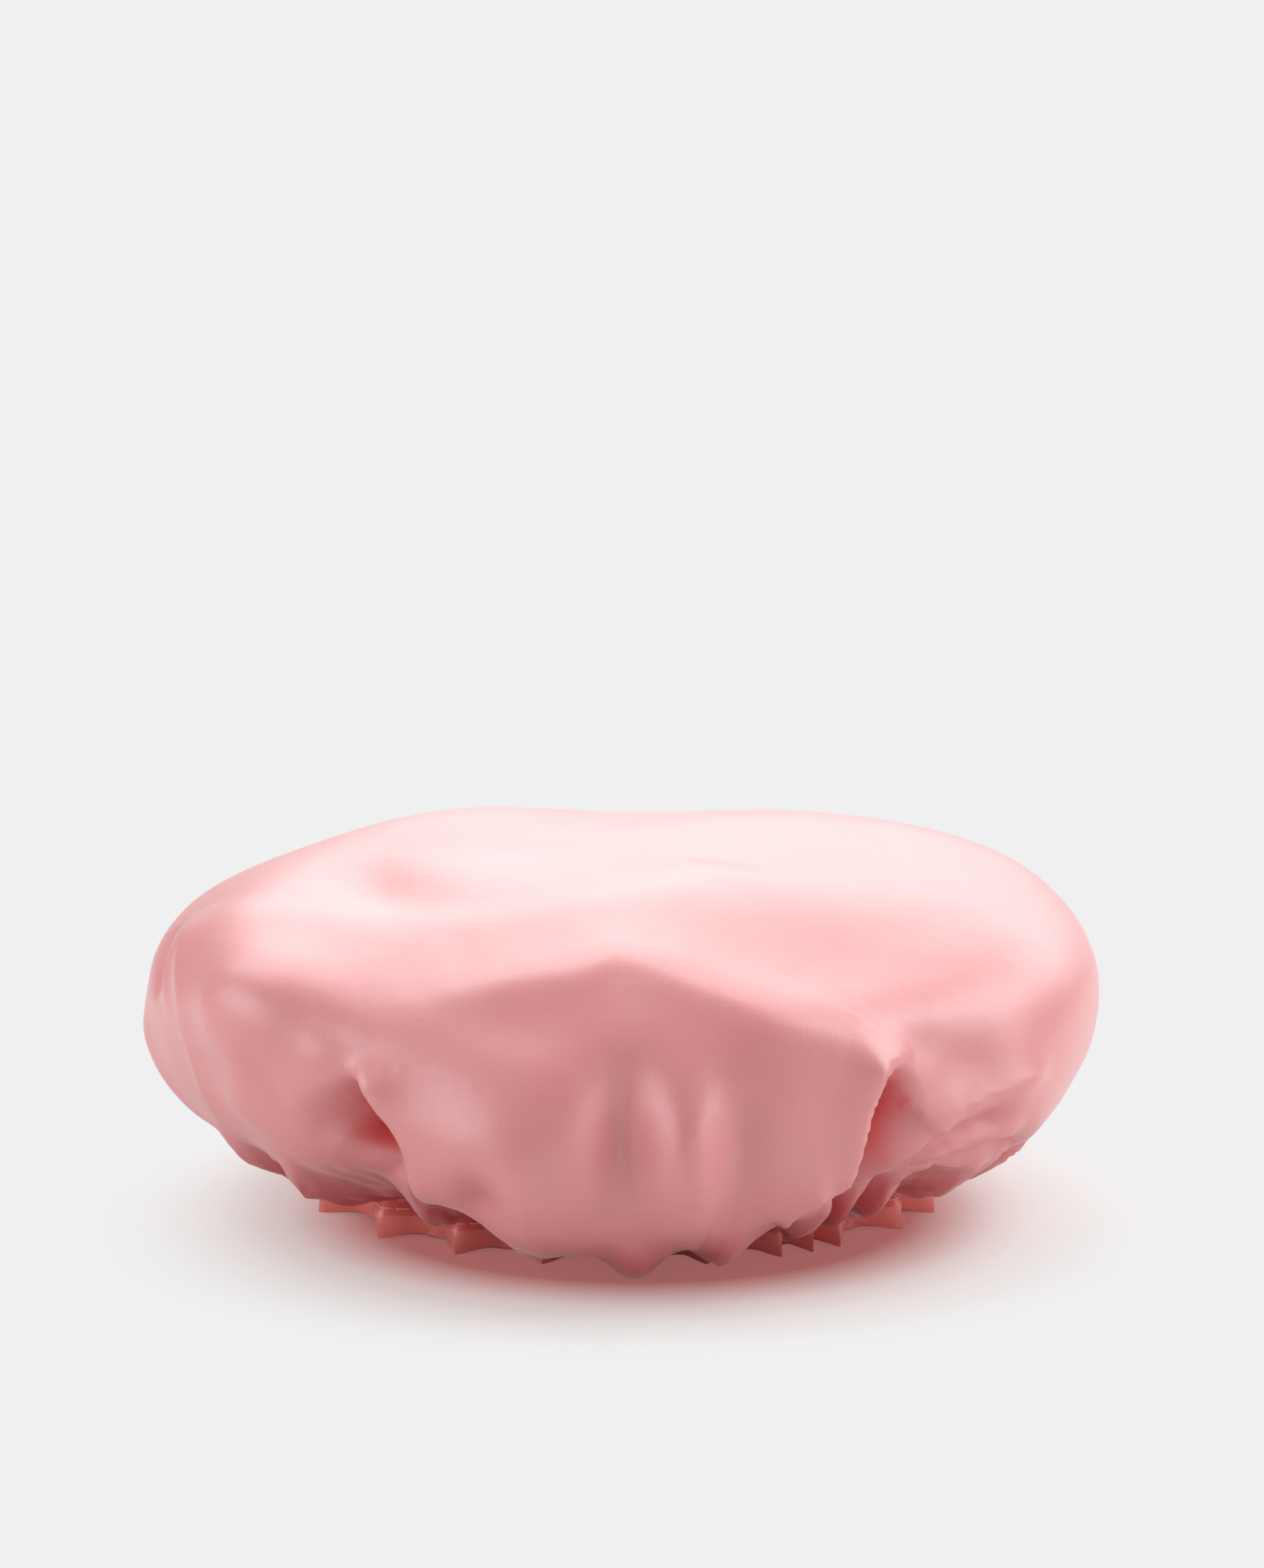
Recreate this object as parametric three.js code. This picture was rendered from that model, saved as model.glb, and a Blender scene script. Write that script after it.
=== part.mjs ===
// A puffed satin shower cap, standing on the gathered edge that goes round the head.
// Millimetres, +Z up. The origin is on the table, under the middle of the cap, and the front faces -Y.
//
// How the cap is made: a circle of satin and a circle of waterproof film are laid together and gathered
// along their edge. The gathered edge is caught between the two lips of a satin casing, a band folded
// lengthwise, by one row of topstitching. A flat elastic loop runs free in the fold of the casing.
import * as THREE from "three";

// Crown: the puffed satin circle
const CROWN_RADIUS = 144.5; // at the widest line, between folds
const CROWN_TOP = 108; // table to the top of the crown
const WIDEST_HEIGHT = 60; // table to the widest line
const CROWN_FULLNESS = 2.8; // 2 makes an elliptical dome, more makes fuller shoulders and a flatter top
const SIDE_FULLNESS = 2.5; // the same for the side below the widest line
const CROWN_LEAN = 13; // how far the crown hangs forward over the gathered edge
const FRONT_SLUMP = 8; // how far the belly of the cap hangs down at the front
const SLUMP_NARROWNESS = 10; // more keeps the hanging belly nearer the middle of the front

// Cloth, film and thread
const SATIN_THICKNESS = 0.4;
const FILM_THICKNESS = 0.3;
const THREAD_DIAMETER = 0.5;
const LAYER_GAP = 0.3; // between layers that lie on each other

// Elastic loop
const ELASTIC_LOOP_LENGTH = 560; // relaxed, along the middle of the loop
const ELASTIC_WIDTH = 5;
const ELASTIC_THICKNESS = 1;
const ELASTIC_LAP = 16; // its ends are laid over each other by this much and sewn
const ELASTIC_RUNNING_GAP = 0.6; // each side of the loop, so that it can creep round in its casing
const LAP_STITCH_COUNT = 5; // zigzags across the lap
const LAP_STITCH_MARGIN = 1; // from a zigzag's turn to the edge of the elastic

// Casing: the folded band round the edge
const LIP_HEIGHT = 5; // from the top of the elastic's channel to the top of the lips
const EDGE_DEPTH = 3; // how far the satin and film edges reach down between the lips
const TOPSTITCH_INSET = 1.6; // from the top of the lips down to the row of topstitching
const FOLD_CHAMFER = 1.6; // the rounding of the fold that the cap stands on

// Gathers and folds
const GATHER_COUNT = 22;
const GATHER_DEPTH = 4; // half the depth of a gather, in the cloth and in both leaves of the casing
const GATHER_UNEVENNESS = 0.26; // 0 spaces the gathers evenly, 0.5 bunches them up
const FOLD_DEPTH = 4.5; // half the depth of the regular folds in the sides and the back
const FOLD_UNEVENNESS = 0.35; // share of the fold depth that comes and goes round the cap

// Swells and hollows that the cloth has settled into. Each is at an angle in degrees round from the front,
// positive to the right, and at a meridian station. It pushes the cloth out, or in where it is negative, by
// so much, and reaches so far across the cloth and along it from crown to edge.
const SWELLS = [
  { name: "flat face of the front tongue", angle: -8, station: 0.807, push: -7.5, across: 38, along: 20 },
  { name: "long hump low on the tongue", angle: -13.5, station: 1.21, push: 7.5, across: 20, along: 15 },
  { name: "short hump beside it", angle: 8.5, station: 1.17, push: 5, across: 9, along: 14 },
  { name: "hollow above the humps", angle: 1.5, station: 0.92, push: -4, across: 8, along: 18 },
  { name: "right edge of the tongue", angle: 22, station: 1.05, push: 5, across: 9, along: 22 },
  { name: "crevice right of the tongue", angle: 31, station: 1.12, push: -10, across: 7, along: 18 },
  { name: "crevice left of the tongue", angle: -33, station: 1.17, push: -13, across: 8, along: 13 },
  { name: "flat top of the left shoulder", angle: -48.5, station: 0.822, push: 8, across: 20, along: 15 },
  { name: "dent in the top", angle: -68, station: 0.285, push: -5, across: 24, along: 16 },
  { name: "slope of the left front", angle: -22, station: 0.47, push: -3.5, across: 26, along: 18 },
  { name: "slope of the right front", angle: 32, station: 0.515, push: -7, across: 36, along: 24 },
  { name: "swell of the right side", angle: 62, station: 1, push: 3, across: 30, along: 25 },
  { name: "swell of the right shoulder", angle: 112, station: 0.63, push: 4.5, across: 36, along: 22 },
  { name: "swell of the crown at the back", angle: -145, station: 0.42, push: 3, across: 30, along: 25 },
  { name: "hollow under the left side", angle: -88, station: 1.47, push: -9, across: 60, along: 19 },
  { name: "hollow under the right side", angle: 88, station: 1.47, push: -8, across: 60, along: 19 },
  { name: "hollow under the left front", angle: -26, station: 1.56, push: -6.5, across: 17, along: 13 },
  { name: "hollow under the right front", angle: 33, station: 1.56, push: -5, across: 15, along: 13 },
];

// Fineness of the facets
const COLUMNS_PER_GATHER = 3; // one on its outer crease and two on its inner crease
const CROWN_RINGS = [0.22, 0.42, 0.62, 0.82]; // meridian stations: 0 is the crown, 1 the widest line
const SIDE_RINGS = [1, 1.2, 1.4, 1.6, 1.8]; // 2 is where the cloth turns down into the casing
const THREAD_SIDES = 5;
const ELASTIC_STEPS = 96;
const STEPS_PER_ZIGZAG = 8;
const MERIDIAN_STEPS = 40; // for measuring along the cloth

// Worked out from the sizes above
const FULL_TURN = 2 * Math.PI;
const FRONT_ANGLE = -Math.PI / 2;
const BACK_ANGLE = Math.PI / 2;
const COLUMNS = GATHER_COUNT * COLUMNS_PER_GATHER;
const ELASTIC_RADIUS = ELASTIC_LOOP_LENGTH / FULL_TURN;
const INNER_CREASE = Math.cos(FULL_TURN / COLUMNS_PER_GATHER);
const ELASTIC_FOOT = FOLD_CHAMFER + LAYER_GAP;
const CHANNEL_TOP = ELASTIC_FOOT + ELASTIC_WIDTH + LAYER_GAP;
const LIP_TOP = CHANNEL_TOP + LIP_HEIGHT;
const CLOTH_TURN = LIP_TOP + 2 * LAYER_GAP; // where the satin's face passes over the lips and turns down
const CLOTH_EDGE = LIP_TOP - EDGE_DEPTH;
const STITCH_HEIGHT = LIP_TOP - TOPSTITCH_INSET;
const LAP_HALF_STACK = ELASTIC_THICKNESS + LAYER_GAP / 2;
const CHANNEL_OUTSIDE = ELASTIC_RADIUS + LAP_HALF_STACK + LAYER_GAP + THREAD_DIAMETER + ELASTIC_RUNNING_GAP;
const CHANNEL_INSIDE = ELASTIC_RADIUS - LAP_HALF_STACK - ELASTIC_RUNNING_GAP;
const FILM_OFFSET = SATIN_THICKNESS + LAYER_GAP; // from the satin's face to the film's face
const THREAD_OFFSET = LAYER_GAP + THREAD_DIAMETER / 2; // from a cloth's face to the middle of a thread

function smoothstep(from, to, x) {
  return THREE.MathUtils.smoothstep(x, from, to);
}

// Columns are the lines that run from crown to edge. Each gather has as many columns as the next one,
// but the gathers are bunched unevenly, so the columns' angles are uneven too.
function columnAngle(column) {
  const even = (FULL_TURN * column) / COLUMNS;
  return even + GATHER_UNEVENNESS * (Math.sin(3 * even + 0.7) / 3 + Math.sin(5 * even) / 5);
}

// 1 on the outer crease of a gather, INNER_CREASE on its inner one.
function gatherWave(column) {
  return Math.cos((FULL_TURN * column) / COLUMNS_PER_GATHER);
}

// Main folds are two gathers wide. Their depth comes and goes round the cap.
function foldWave(column) {
  const strength = 1 - FOLD_UNEVENNESS * (1 + Math.sin(4 * columnAngle(column) + 1.3));
  return strength * Math.cos((FULL_TURN * column) / (2 * COLUMNS_PER_GATHER));
}

// The radius of the satin's face where it goes into the casing.
function lipRadius(column) {
  return ELASTIC_RADIUS + GATHER_DEPTH * gatherWave(column);
}

// A point in a column. The setback is how far behind the crown's middle its ring lies: the gathered edge is
// set back by the whole lean.
function place(column, radius, height, setback = CROWN_LEAN) {
  const angle = columnAngle(column);
  return new THREE.Vector3(radius * Math.cos(angle), radius * Math.sin(angle) + setback, height);
}

// 1 at the front, falling to 0 at the sides.
function facingFront(column, narrowness) {
  return Math.max(0, Math.cos(columnAngle(column) - FRONT_ANGLE)) ** narrowness;
}

// A quarter of a rounded curve, from its top (station 0) to its widest point (station 1): how far out and
// up it is, each from 0 to 1.
function roundedQuarter(station, fullness) {
  const angle = (station * Math.PI) / 2;
  const across = Math.sin(angle) ** (2 / fullness);
  const up = Math.max(0, Math.cos(angle)) ** (2 / fullness);
  return { across, up };
}

// A point of the cloth at a meridian station: radius and height of the puffed form, its outward normal, and
// how far its ring is set back.
function puffedForm(station, column) {
  if (station <= 1) {
    const { across, up } = roundedQuarter(station, CROWN_FULLNESS);
    const steepness = CROWN_FULLNESS - 1;
    const rise = CROWN_TOP - WIDEST_HEIGHT;
    const normal = new THREE.Vector2(across ** steepness / CROWN_RADIUS, up ** steepness / rise).normalize();
    return { radius: CROWN_RADIUS * across, height: WIDEST_HEIGHT + rise * up, normal, setback: 0 };
  }
  const { across, up } = roundedQuarter(2 - station, SIDE_FULLNESS);
  const steepness = SIDE_FULLNESS - 1;
  const reach = CROWN_RADIUS - lipRadius(column);
  const drop = WIDEST_HEIGHT - CLOTH_TURN;
  const normal = new THREE.Vector2(across ** steepness / reach, -(up ** steepness) / drop).normalize();
  const setback = CROWN_LEAN * (1 - across);
  return { radius: lipRadius(column) + reach * across, height: WIDEST_HEIGHT - drop * up, normal, setback };
}

// How far the regular folds push the cloth out along its normal at a station. They run from the shoulder
// nearly to the casing, and the front has folds of its own instead.
function foldPush(station, column) {
  const share = smoothstep(0.6, 1.5, station) * (1 - smoothstep(1.45, 1.9, station));
  return FOLD_DEPTH * share * foldWave(column) * (1 - facingFront(column, 1));
}

// How far along the cloth a station is from the crown.
function clothLength(station) {
  const points = Array.from({ length: MERIDIAN_STEPS + 1 }, (_, step) => {
    const { radius, height } = puffedForm((station * step) / MERIDIAN_STEPS, 0);
    return new THREE.Vector2(radius, height);
  });
  return points.slice(1).reduce((sum, point, i) => sum + point.distanceTo(points[i]), 0);
}

// How far the swells and hollows push the cloth out along its normal. They die out towards the casing.
function swelling(station, column, radius) {
  const length = clothLength(station);
  const sum = SWELLS.reduce((total, swell) => {
    const turn = columnAngle(column) - FRONT_ANGLE - THREE.MathUtils.degToRad(swell.angle);
    const nearest = turn - FULL_TURN * Math.round(turn / FULL_TURN);
    const across = (radius * nearest) / swell.across;
    const along = (length - clothLength(swell.station)) / swell.along;
    return total + swell.push * Math.exp(-(across ** 2 + along ** 2) / 2);
  }, 0);
  return sum * (1 - smoothstep(1.6, 1.95, station));
}

// The belly hangs lower towards the front.
function slump(station, column) {
  if (station <= 1) {
    return 0;
  }
  return FRONT_SLUMP * facingFront(column, SLUMP_NARROWNESS) * Math.sin(Math.PI * (station - 1));
}

// A point on the cloth, so far inside the satin's face.
function clothPoint(station, column, inside) {
  const form = puffedForm(station, column);
  const push = foldPush(station, column) + swelling(station, column, form.radius) - inside;
  const radius = form.radius + form.normal.x * push;
  const height = form.height + form.normal.y * push - slump(station, column);
  return place(column, radius, height, form.setback);
}

function ringOf(columns, pointAt) {
  return Array.from({ length: columns }, (_, i) => pointAt((i * COLUMNS) / columns));
}

// The rings of one face of a cloth layer, from the crown to its edge between the lips. The crown has half
// as many columns as the gathered side.
function clothFace(inside) {
  const crown = CROWN_RINGS.map((station) =>
    ringOf(COLUMNS / 2, (column) => clothPoint(station, column, inside)),
  );
  const side = SIDE_RINGS.map((station) =>
    ringOf(COLUMNS, (column) => clothPoint(station, column, inside)),
  );
  const turn = ringOf(COLUMNS, (column) => place(column, lipRadius(column) - inside, CLOTH_TURN + inside));
  const edge = ringOf(COLUMNS, (column) => place(column, lipRadius(column) - inside, CLOTH_EDGE));
  const pole = [new THREE.Vector3(0, 0, CROWN_TOP - inside)];
  return [pole, ...crown, ...side, turn, edge];
}

// How high a ring of points lies, on average.
function ringHeight(ring) {
  return ring.reduce((sum, point) => sum + point.z, 0) / ring.length;
}

// The triangles between two neighbouring rings of points. A ring may be a single point, or have half as many
// points as its neighbour. The diagonals lean the same way on the face and on the back of a layer: each
// starts from the higher ring.
function bridge(from, to) {
  const triangles = [];
  const count = Math.max(from.length, to.length);
  const fromAt = (i) => from[Math.floor((i * from.length) / count) % from.length];
  const toAt = (i) => to[Math.floor((i * to.length) / count) % to.length];
  const isFalling = ringHeight(from) >= ringHeight(to);
  for (let i = 0; i < count; i += 1) {
    if (isFalling) {
      triangles.push([fromAt(i), toAt(i), toAt(i + 1)]);
      triangles.push([fromAt(i), toAt(i + 1), fromAt(i + 1)]);
    } else {
      triangles.push([fromAt(i), toAt(i), fromAt(i + 1)]);
      triangles.push([fromAt(i + 1), toAt(i), toAt(i + 1)]);
    }
  }
  return triangles.filter(([a, b, c]) => a !== b && b !== c && c !== a);
}

// A solid whose skin runs through a chain of rings: round from the last to the first if the chain is a loop,
// and otherwise capped at both ends.
function skin(rings, isLoop) {
  const chain = isLoop ? [...rings, rings[0]] : rings;
  const triangles = chain.slice(1).flatMap((ring, i) => bridge(chain[i], ring));
  if (!isLoop) {
    const first = rings[0];
    const last = rings[rings.length - 1];
    for (let i = 1; i + 1 < first.length; i += 1) {
      triangles.push([first[0], first[i], first[i + 1]]);
    }
    for (let i = 1; i + 1 < last.length; i += 1) {
      triangles.push([last[0], last[i + 1], last[i]]);
    }
  }
  return new THREE.BufferGeometry().setFromPoints(triangles.flat());
}

// One layer of cloth: its face down to the edge, and its back up to the crown again.
function clothLayer(inside, thickness) {
  const face = clothFace(inside);
  const back = clothFace(inside + thickness).reverse();
  return skin([...face, ...back], false);
}

// The outline of the casing in one column, from the top of its outer lip down round the fold and up the
// inner leaf, then back through the channel. Each entry is [radius, height].
function casingOutline(column) {
  const wave = gatherWave(column);
  const outerLip = lipRadius(column) + LAYER_GAP + SATIN_THICKNESS;
  const innerLip = lipRadius(column) - FILM_OFFSET - FILM_THICKNESS - LAYER_GAP - SATIN_THICKNESS;
  const outerLeaf = CHANNEL_OUTSIDE + SATIN_THICKNESS + GATHER_DEPTH * (wave - INNER_CREASE);
  const innerLeaf = CHANNEL_INSIDE - SATIN_THICKNESS - GATHER_DEPTH * (1 - wave);
  const floorInset = FOLD_CHAMFER + SATIN_THICKNESS / 2;
  const outside = [
    [outerLip, LIP_TOP],
    [outerLeaf, CHANNEL_TOP],
    [outerLeaf, FOLD_CHAMFER],
    [outerLeaf - FOLD_CHAMFER, 0],
    [innerLeaf + FOLD_CHAMFER, 0],
    [innerLeaf, FOLD_CHAMFER],
    [innerLeaf, CHANNEL_TOP],
    [innerLip, LIP_TOP],
  ];
  const channel = [
    [innerLip + SATIN_THICKNESS, LIP_TOP],
    [innerLeaf + SATIN_THICKNESS, CHANNEL_TOP],
    [innerLeaf + SATIN_THICKNESS, FOLD_CHAMFER],
    [innerLeaf + floorInset, SATIN_THICKNESS],
    [outerLeaf - floorInset, SATIN_THICKNESS],
    [outerLeaf - SATIN_THICKNESS, FOLD_CHAMFER],
    [outerLeaf - SATIN_THICKNESS, CHANNEL_TOP],
    [outerLip - SATIN_THICKNESS, LIP_TOP],
  ];
  return [...outside, ...channel];
}

function casing() {
  const outlines = ringOf(COLUMNS, (column) => casingOutline(column).map(([r, z]) => place(column, r, z)));
  const rings = outlines[0].map((_, corner) => outlines.map((outline) => outline[corner]));
  return skin(rings, true);
}

// The radius of a leaf's face at the height of the topstitching, on the straight stretch below the lips.
function leafRadius(lip, leaf) {
  return THREE.MathUtils.lerp(lip, leaf, TOPSTITCH_INSET / LIP_HEIGHT);
}

// A row of topstitching: one thread that follows the gathers all the way round.
function topstitch(radiusAt) {
  const rings = Array.from({ length: THREAD_SIDES }, (_, side) => {
    const turn = (FULL_TURN * side) / THREAD_SIDES;
    const out = (THREAD_DIAMETER / 2) * Math.cos(turn);
    const down = (THREAD_DIAMETER / 2) * Math.sin(turn);
    return ringOf(COLUMNS, (column) => place(column, radiusAt(column) + out, STITCH_HEIGHT - down));
  });
  return skin(rings, true);
}

function needleThreadRadius(column) {
  const outline = casingOutline(column);
  return leafRadius(outline[0][0], outline[1][0]) + THREAD_OFFSET;
}

function bobbinThreadRadius(column) {
  const outline = casingOutline(column);
  return leafRadius(outline[7][0], outline[6][0]) - THREAD_OFFSET;
}

// The elastic is one strip, a little longer than the loop. It spirals in by its own thickness, so that its
// end lies inside its beginning.
function elasticBand() {
  const lapTurn = (FULL_TURN * ELASTIC_LAP) / ELASTIC_LOOP_LENGTH;
  const pitch = ELASTIC_THICKNESS + LAYER_GAP;
  const sections = Array.from({ length: ELASTIC_STEPS + 1 }, (_, step) => {
    const turn = ((FULL_TURN + lapTurn) * step) / ELASTIC_STEPS;
    const middle = ELASTIC_RADIUS + pitch * (0.5 - (turn - lapTurn / 2) / FULL_TURN);
    const corner = (radius, height) =>
      new THREE.Vector3(radius * Math.cos(turn), radius * Math.sin(turn), height);
    const outside = middle + ELASTIC_THICKNESS / 2;
    const inside = middle - ELASTIC_THICKNESS / 2;
    return [
      corner(outside, 0),
      corner(outside, ELASTIC_WIDTH),
      corner(inside, ELASTIC_WIDTH),
      corner(inside, 0),
    ];
  });
  return skin(sections, false);
}

function threadAlong(points) {
  const section = new THREE.Shape(
    Array.from({ length: THREAD_SIDES }, (_, side) => {
      const turn = (FULL_TURN * side) / THREAD_SIDES;
      return new THREE.Vector2(Math.cos(turn), Math.sin(turn)).multiplyScalar(THREAD_DIAMETER / 2);
    }),
  );
  const extrudePath = new THREE.CatmullRomCurve3(points);
  return new THREE.ExtrudeGeometry(section, { steps: points.length - 1, extrudePath });
}

// The zigzag that sews the lap of the elastic, on its outer face.
function lapStitch() {
  const lapTurn = (FULL_TURN * ELASTIC_LAP) / ELASTIC_LOOP_LENGTH;
  const radius = ELASTIC_RADIUS + LAP_HALF_STACK + LAYER_GAP + THREAD_DIAMETER / 2;
  const swing = ELASTIC_WIDTH / 2 - LAP_STITCH_MARGIN;
  const steps = LAP_STITCH_COUNT * STEPS_PER_ZIGZAG;
  const points = Array.from({ length: steps + 1 }, (_, step) => {
    const turn = lapTurn * THREE.MathUtils.lerp(0.15, 0.85, step / steps);
    const height = ELASTIC_WIDTH / 2 + swing * Math.sin((FULL_TURN * step) / STEPS_PER_ZIGZAG);
    return new THREE.Vector3(radius * Math.cos(turn), radius * Math.sin(turn), height);
  });
  return threadAlong(points);
}

// The stitch that joins the two ends of the casing at the back, down the face of its outer leaf.
function casingJoinStitch() {
  const backColumn = Array.from({ length: COLUMNS }, (_, column) => column)
    .filter((column) => gatherWave(column) > 1 - LAYER_GAP)
    .reduce((best, column) =>
      Math.abs(columnAngle(column) - BACK_ANGLE) < Math.abs(columnAngle(best) - BACK_ANGLE) ? column : best,
    );
  const [, leafTop, leafFoot] = casingOutline(backColumn);
  const top = leafTop[1] - THREAD_DIAMETER;
  const foot = leafFoot[1] + THREAD_DIAMETER;
  return threadAlong([
    place(backColumn, leafTop[0] + THREAD_OFFSET, top),
    place(backColumn, leafTop[0] + THREAD_OFFSET, foot),
  ]);
}

function finish(color, roughness) {
  return new THREE.MeshStandardMaterial({ color, roughness, metalness: 0 });
}

const satin = finish(0xe8b0ae, 0.38);
const casingSatin = finish(0xd98d86, 0.42);
const film = finish(0xf3dfdc, 0.55);
const knit = finish(0xf1ece6, 0.85);
const thread = finish(0xeeb5b0, 0.5);

function piece(name, geometry, material) {
  const mesh = new THREE.Mesh(geometry, material);
  mesh.name = name;
  return mesh;
}

const cap = new THREE.Group();
cap.add(piece("outer_shell", clothLayer(0, SATIN_THICKNESS), satin));
cap.add(piece("waterproof_lining", clothLayer(FILM_OFFSET, FILM_THICKNESS), film));
cap.add(piece("edge_casing", casing(), casingSatin));
cap.add(piece("topstitch_needle_thread", topstitch(needleThreadRadius), thread));
cap.add(piece("topstitch_bobbin_thread", topstitch(bobbinThreadRadius), thread));
cap.add(piece("casing_join_stitch", casingJoinStitch(), thread));

const elasticLoop = new THREE.Group();
elasticLoop.position.set(0, CROWN_LEAN, ELASTIC_FOOT);
elasticLoop.rotation.z = BACK_ANGLE;
elasticLoop.add(piece("elastic_band", elasticBand(), knit));
elasticLoop.add(piece("elastic_lap_stitch", lapStitch(), thread));
cap.add(elasticLoop);

export default cap;
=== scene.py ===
"""A puffed pink satin shower cap on a pale studio floor.

Lengths in the shape code are millimetres; Blender objects are in metres. Places on the cloth are given as
(phi, arc): phi in degrees round the cap, 0 at the front and positive to the right, and arc in millimetres
along the cloth from the middle of the crown.
"""
import math
from typing import NamedTuple

import bpy
import numpy as np
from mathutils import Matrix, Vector
from mathutils.bvhtree import BVHTree


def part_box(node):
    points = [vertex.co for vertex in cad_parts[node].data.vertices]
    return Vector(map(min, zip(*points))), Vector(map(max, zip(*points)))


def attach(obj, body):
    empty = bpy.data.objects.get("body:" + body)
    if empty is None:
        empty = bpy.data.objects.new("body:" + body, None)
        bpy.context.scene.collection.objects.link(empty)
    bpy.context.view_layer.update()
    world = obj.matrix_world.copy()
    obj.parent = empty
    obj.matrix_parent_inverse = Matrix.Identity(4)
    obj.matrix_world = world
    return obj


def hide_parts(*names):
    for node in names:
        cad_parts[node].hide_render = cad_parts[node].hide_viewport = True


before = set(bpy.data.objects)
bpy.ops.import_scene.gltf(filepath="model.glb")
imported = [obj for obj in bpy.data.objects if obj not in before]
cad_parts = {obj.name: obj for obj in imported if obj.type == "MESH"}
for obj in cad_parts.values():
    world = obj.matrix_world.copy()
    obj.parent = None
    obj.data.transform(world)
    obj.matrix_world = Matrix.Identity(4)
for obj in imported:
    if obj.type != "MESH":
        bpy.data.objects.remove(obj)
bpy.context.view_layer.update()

MM = 0.001

# The cap's sizes, as in the solids
CROWN_RADIUS = 144.5
CROWN_TOP = 108.0
WIDEST_HEIGHT = 60.0
CROWN_FULLNESS = 2.8
SIDE_FULLNESS = 2.5
CROWN_LEAN = 13.0  # how far the gathered edge lies behind the crown's middle
ELASTIC_LENGTH = 560.0  # round the relaxed loop
ELASTIC_RADIUS = ELASTIC_LENGTH / (2 * math.pi)
ELASTIC_FOOT = 1.9
ELASTIC_WIDTH = 5.0
ELASTIC_LAP = 2 * math.pi * 16 / ELASTIC_LENGTH  # in radians: its ends lap by 16 mm
CHANNEL_OUTSIDE = ELASTIC_RADIUS + 2.55  # the room that the casing leaves for the elastic
CHANNEL_INSIDE = ELASTIC_RADIUS - 1.75
LIP_TOP = 12.2  # the casing's upper edges
CLOTH_TURN = 12.8  # height at which the cloth goes down between the casing's lips
CLOTH_EDGE = 9.2
EDGE_TUCK = CLOTH_TURN - CLOTH_EDGE
EDGE_RING = 1.8  # the ring of vertices half-way down that tuck
GATHER_COUNT = 22
GATHER_UNEVENNESS = 0.26
FOLD_DEPTH = 4.5
FOLD_UNEVENNESS = 0.35
LINING_GAP = 0.7  # from the satin's face to the film's

# The sheets: before they were gathered, in metres, and their thickness
SATIN_THICKNESS = 0.35
FILM_THICKNESS = 0.2
CASING_THICKNESS = 0.3

# The casing. Its pleats point outwards at these angles, in degrees round the cap
PLEATS = [-67.1, -46.9, -30.0, -14.2, 1.3, 13.5, 26.8, 32.9, 38.6, 54.5, 66.7,
          87, 103, 124, 140, 161, 176, 197, 214, 230, 252, 269]
PLEAT_SHARPNESS = 1.1  # 1 for a sharp crease, 2 for a round one
PLEAT_DEPTH = 8.0  # how far the lips lie outside the elastic on a pleat
LIP_HOLLOW = 2.0  # and how far inside it between two pleats
LIP_ROLL = LIP_TOP - 1.6  # heights: where the lips end, and the row of topstitching
SEAM_HEIGHT = LIP_TOP - 3
LIP_OUTSIDE = 0.75  # from the cloth to the outer lip's face
LIP_INSIDE = 1.75  # and to the inner lip's
CASING_WALL = 0.45  # from the channel to the casing's face
PLEAT_SWELL = 8.5  # how far a pleat stands out in its round middle
PLEAT_DRAW = 6.0  # how far the inner leaf is drawn in between two pleats
PLEAT_FLARE = 1.3  # how far a pleat's lower corner points out
FOOT_HEIGHT = 0.1  # how far the fold is off the floor on a pleat
FOOT_RISE = 2.6  # and how much more between two pleats
CASING_COLUMNS = 704
CASING_CREASE = 32  # degrees: sharper edges are shaded as creases
CRUMPLED_ROWS = range(2, 7)
CRUMPLE_DEPTH = 0.22

# The threads
STITCH_LENGTH = 4.7
STITCH_GAP = 0.8
STITCH_LIFT = 0.2  # from the casing's face to the thread's middle
STITCH_DIP = 0.42  # how far a stitch's ends go into the cloth
STITCH_POINTS = 9
STITCH_SHIFT = 0.12  # chance differences: along the row, in height and from end to end
STITCH_RISE = 0.08
STITCH_TILT = 0.05
STITCH_SEED = 3
THREAD_RADIUS = 0.24
THREAD_TAPER = 0.35  # share by which a stitch's ends are thinner
FINE_THREAD_RADIUS = 0.22
OUTER_STITCH_ROW = 3  # rows of the casing's section that carry the topstitching
INNER_STITCH_ROW = 17
JOIN_STITCHES = ((8.4, 6.2), (5.8, 3.6))  # top and foot of each
JOIN_LIFT = 0.15
JOIN_DIP = 0.4
JOIN_POINTS = 7
JOIN_SLANT = 0.02  # degrees round the cap, from a stitch's middle to its foot

# The elastic
ELASTIC_STEPS = 520
ELASTIC_PITCH = 1.3  # how far the strip spirals in on one round
ELASTIC_HALF = 0.36  # half its thickness between two ribs
ELASTIC_RIBS = 6
RIB_HEIGHT = 0.12
RIB_POINTS = 6
KNIT_RIPPLE = 0.05  # share of the thickness by which the knit's wraps differ
ELASTIC_JOIN = 180  # degrees: the lap is at the back
LAP_FACE = 1.15  # from the elastic's middle line to the face of the lap
LAP_STITCH_GAP = 0.3
LAP_STITCHES = 5
LAP_STITCH_STEPS = 12
LAP_STITCH_START = 0.15  # shares of the lap
LAP_STITCH_REACH = 0.7
LAP_STITCH_MARGIN = 1.0  # from the elastic's edges

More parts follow.
